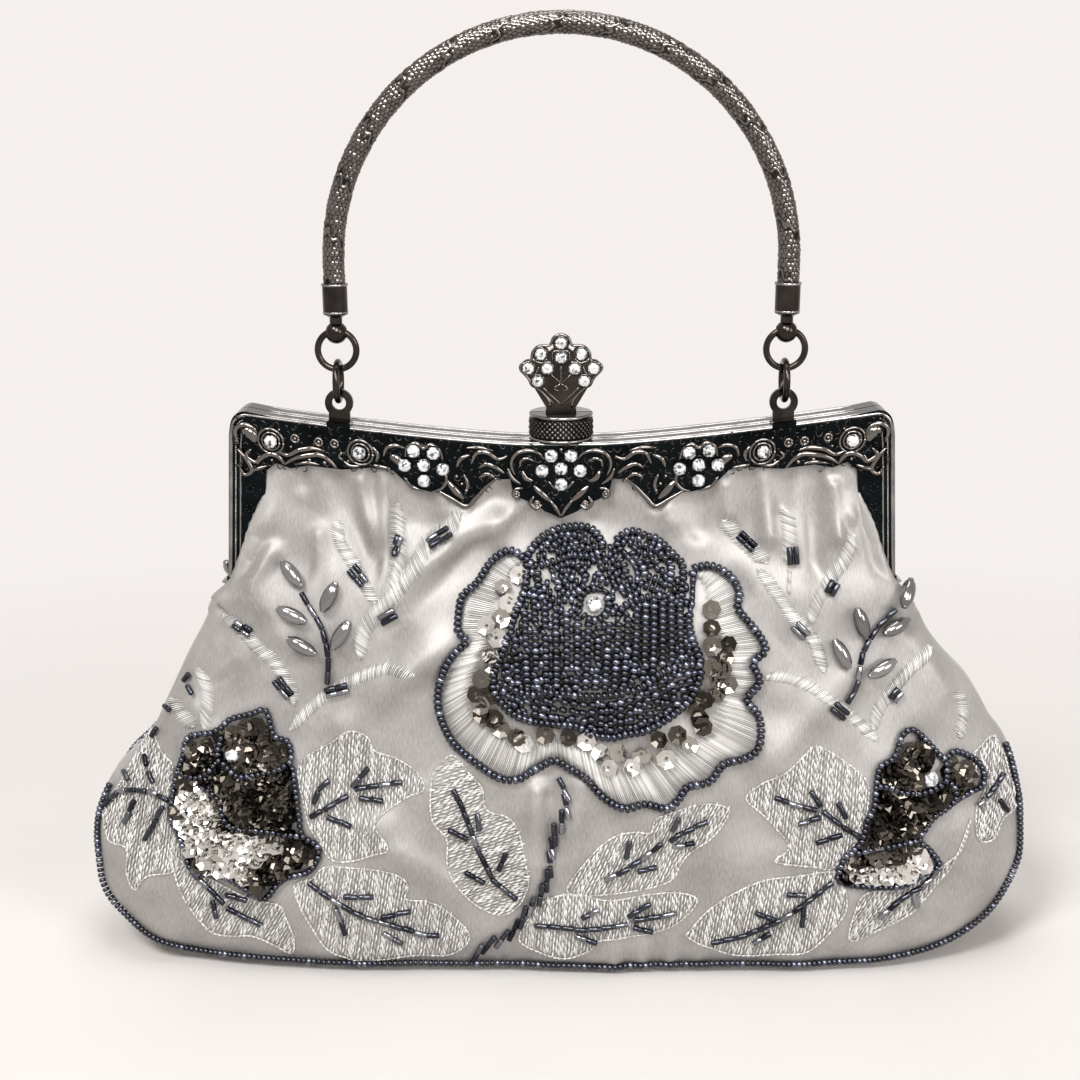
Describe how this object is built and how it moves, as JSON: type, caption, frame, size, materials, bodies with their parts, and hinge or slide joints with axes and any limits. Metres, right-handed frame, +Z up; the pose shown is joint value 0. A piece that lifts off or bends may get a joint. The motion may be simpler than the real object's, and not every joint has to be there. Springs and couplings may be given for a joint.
{
  "type": "evening bag",
  "caption": "Framed satin evening bag with a hinged metal frame, ring-hung arched handle, tilting fan clasp and beaded floral embroidery.",
  "frame": {"origin": "middle of the flat base, where the bag stands", "axes": "+X to the right seen from the front, +Y away from the front, +Z up"},
  "size_m": [0.27, 0.0634, 0.26],
  "materials": {
    "black_nickel": "cast and stamped zinc alloy, black-nickel plated, polished on the high points",
    "grey_nickel": "nickel plated, smooth",
    "steel": "plain drawn steel",
    "crystal": "clear foiled chaton",
    "satin": "silver-grey polyester satin",
    "lining": "grey lining satin",
    "wadding": "thin polyester wadding",
    "board": "grey base board",
    "paper_cord": "twisted paper cord",
    "seed_beads": "opaque navy gunmetal glass beads",
    "sequins": "silver gunmetal cup sequins",
    "thread": "off-white embroidery thread, satin stitch",
    "pearl": "silver-grey imitation rice pearls"
  },
  "bodies": {
    "bag": {"hinge_rivet_left": "grey_nickel", "hinge_rivet_right": "grey_nickel", "pouch_shell": "satin", "pouch_wadding": "wadding", "pouch_lining": "lining", "base_board": "board", "inner_pocket": "lining", "front_edge_beads": "seed_beads", "rear_edge_beads": "seed_beads", "front_flower_beads": "seed_beads", "front_buds": "sequins", "front_leaves": "thread", "front_stem_bugles": "seed_beads", "front_pearl_sprigs": "pearl", "front_crystals": "crystal", "rear_flower_beads": "seed_beads", "rear_buds": "sequins", "rear_leaves": "thread", "rear_stem_bugles": "seed_beads", "rear_pearl_sprigs": "pearl", "rear_crystals": "crystal"},
    "front_half": {"front_frame": "black_nickel", "front_filigree": "black_nickel", "frame_stones": "crystal", "front_channel_cord": "paper_cord", "clasp_front_drum": "black_nickel", "clasp_pin": "grey_nickel", "clasp_spring": "steel", "handle_tab_left": "black_nickel", "handle_tab_right": "black_nickel", "front_panel": "satin", "front_panel_lining": "lining", "front_flower_top": "seed_beads"},
    "rear_half": {"rear_frame": "black_nickel", "rear_channel_cord": "paper_cord", "clasp_rear_drum": "grey_nickel", "rear_panel": "satin", "rear_panel_lining": "lining", "rear_flower_top": "seed_beads"},
    "clasp_lever": {"clasp_fan_lever": "black_nickel", "clasp_fan_stones": "crystal"},
    "lower_ring_left": {"lower_ring_left": "black_nickel"},
    "lower_ring_right": {"lower_ring_right": "black_nickel"},
    "upper_ring_left": {"upper_ring_left": "black_nickel"},
    "upper_ring_right": {"upper_ring_right": "black_nickel"},
    "handle": {"handle_ferrule_left": "black_nickel", "handle_ferrule_right": "black_nickel", "handle_core": "steel", "handle_cover": "black_nickel"}
  },
  "joints": [
    {"name": "front_open", "type": "hinge", "parent": "bag", "child": "front_half", "pos_m": [0, 0, 0.099], "axis": [1, 0, 0], "range_deg": [0, 30]},
    {"name": "rear_open", "type": "hinge", "parent": "bag", "child": "rear_half", "pos_m": [0, 0, 0.099], "axis": [1, 0, 0], "range_deg": [-30, 0]},
    {"name": "clasp_tilt", "type": "hinge", "parent": "front_half", "child": "clasp_lever", "pos_m": [0, -0.0015, 0.152], "axis": [1, 0, 0], "range_deg": [-18, 0], "stiffness_Nm_per_rad": 0.01, "springref_deg": 11.46, "deforming": ["clasp_spring"]},
    {"name": "lower_ring_left_swing", "type": "hinge", "parent": "front_half", "child": "lower_ring_left", "pos_m": [-0.0605, -0.0033, 0.16162], "axis": [1, 0, 0], "range_deg": [-35, 35]},
    {"name": "upper_ring_left_swing", "type": "hinge", "parent": "lower_ring_left", "child": "upper_ring_left", "pos_m": [-0.0605, -0.0033, 0.16798], "axis": [1, 0, 0], "range_deg": [-30, 30]},
    {"name": "lower_ring_right_swing", "type": "hinge", "parent": "front_half", "child": "lower_ring_right", "pos_m": [0.0605, -0.0033, 0.16162], "axis": [1, 0, 0], "range_deg": [-35, 35]},
    {"name": "upper_ring_right_swing", "type": "hinge", "parent": "lower_ring_right", "child": "upper_ring_right", "pos_m": [0.0605, -0.0033, 0.16798], "axis": [1, 0, 0], "range_deg": [-30, 30]},
    {"name": "handle_swing", "type": "hinge", "parent": "upper_ring_left", "child": "handle", "pos_m": [-0.0605, -0.0033, 0.1779], "axis": [1, 0, 0], "range_deg": [-35, 35]}
  ],
  "couplings": [
    {"joint": "rear_open", "follows": "front_open", "ratio": -1},
    {"joint": "lower_ring_right_swing", "follows": "lower_ring_left_swing", "ratio": 1},
    {"joint": "upper_ring_right_swing", "follows": "upper_ring_left_swing", "ratio": 1}
  ]
}
